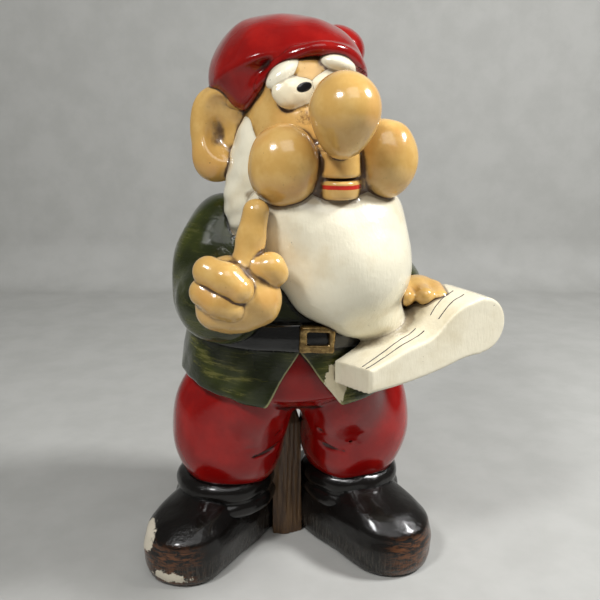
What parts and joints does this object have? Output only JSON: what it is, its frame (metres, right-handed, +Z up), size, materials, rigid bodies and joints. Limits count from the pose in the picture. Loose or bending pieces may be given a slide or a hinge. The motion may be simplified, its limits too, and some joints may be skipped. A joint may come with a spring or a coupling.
{
  "type": "garden gnome",
  "caption": "Free-standing garden gnome with a red cap, full beard, green belted jacket and black boots, raising a finger and holding a thick scroll.",
  "frame": {"origin": "on the ground, at the middle of the underside of the support post between the boots", "axes": "+Z up; -Y is the way the gnome faces; +X is the gnome's left-hand side, where it holds the scroll"},
  "size_m": [0.2772, 0.2336, 0.43],
  "materials": {
    "hat_red": "deep red gloss paint under clear varnish",
    "skin": "ochre skin paint with a brown antiquing wash, varnished",
    "lip_red": "ochre skin paint with a thin red line for the mouth, varnished",
    "eye_white": "off-white gloss paint with a black pupil",
    "hair_cream": "thick cream gloss paint, brushed on",
    "jacket_green": "dark green gloss paint with dry-brushed olive streaks",
    "belt_black": "black gloss paint, finely scratched",
    "buckle_gold": "antique gold paint",
    "trousers_red": "bright red gloss paint",
    "boot_black": "black gloss paint with brown brushed toes",
    "paper_ivory": "ivory gloss paint with thin dark lines",
    "bark_brown": "streaked brown wood-effect paint"
  },
  "bodies": {
    "root": {"back_hair": "hair_cream", "beard": "hair_cream", "belt": "belt_black", "boot_cuff_left": "boot_black", "boot_cuff_right": "boot_black", "boot_left": "boot_black", "boot_right": "boot_black", "buckle": "buckle_gold", "cheek_left": "skin", "cheek_right": "skin", "curled_fingers": "skin", "ear_left": "skin", "ear_right": "skin", "eye_left": "eye_white", "eye_right": "eye_white", "eyebrow_left": "hair_cream", "eyebrow_right": "hair_cream", "fist_right": "skin", "hand_left": "skin", "hat_brim": "hat_red", "hat_crown": "hat_red", "hat_tip": "hat_red", "head": "skin", "index_finger": "skin", "jacket_body": "jacket_green", "jacket_skirt": "jacket_green", "lower_lip": "lip_red", "nose": "skin", "scroll": "paper_ivory", "sideburn_left": "hair_cream", "sideburn_right": "hair_cream", "sleeve_left": "jacket_green", "sleeve_right": "jacket_green", "support_post": "bark_brown", "thumb_right": "skin", "trouser_leg_left": "trousers_red", "trouser_leg_right": "trousers_red", "trouser_seat": "trousers_red", "upper_lip": "skin"}
  },
  "joints": []
}
